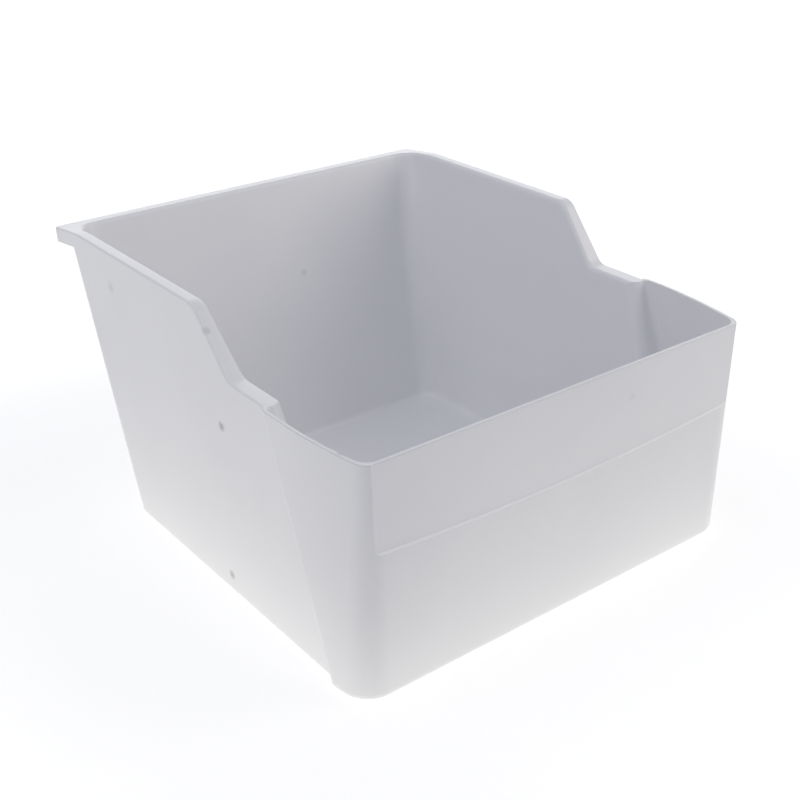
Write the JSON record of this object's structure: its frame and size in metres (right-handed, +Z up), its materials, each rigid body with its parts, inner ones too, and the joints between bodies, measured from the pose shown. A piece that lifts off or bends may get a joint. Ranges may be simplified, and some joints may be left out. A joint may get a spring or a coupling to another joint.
{
  "type": "fridge crisper drawer",
  "caption": "White moulded fridge crisper drawer: open bin with double side walls, a rim stepping down to a wide front box, a creased front panel and a hanging lip behind.",
  "frame": {"origin": "centre of the bounding box in plan, at the underside that the drawer rests on", "axes": "+Z up, front panel faces -Y, +X to the right of someone who faces the back of the drawer from its front"},
  "size_m": [0.3466, 0.393, 0.2175],
  "materials": {
    "white_plastic": "satin moulded white polystyrene"
  },
  "bodies": {
    "root": {"drawer_bin": "white_plastic"}
  },
  "joints": []
}
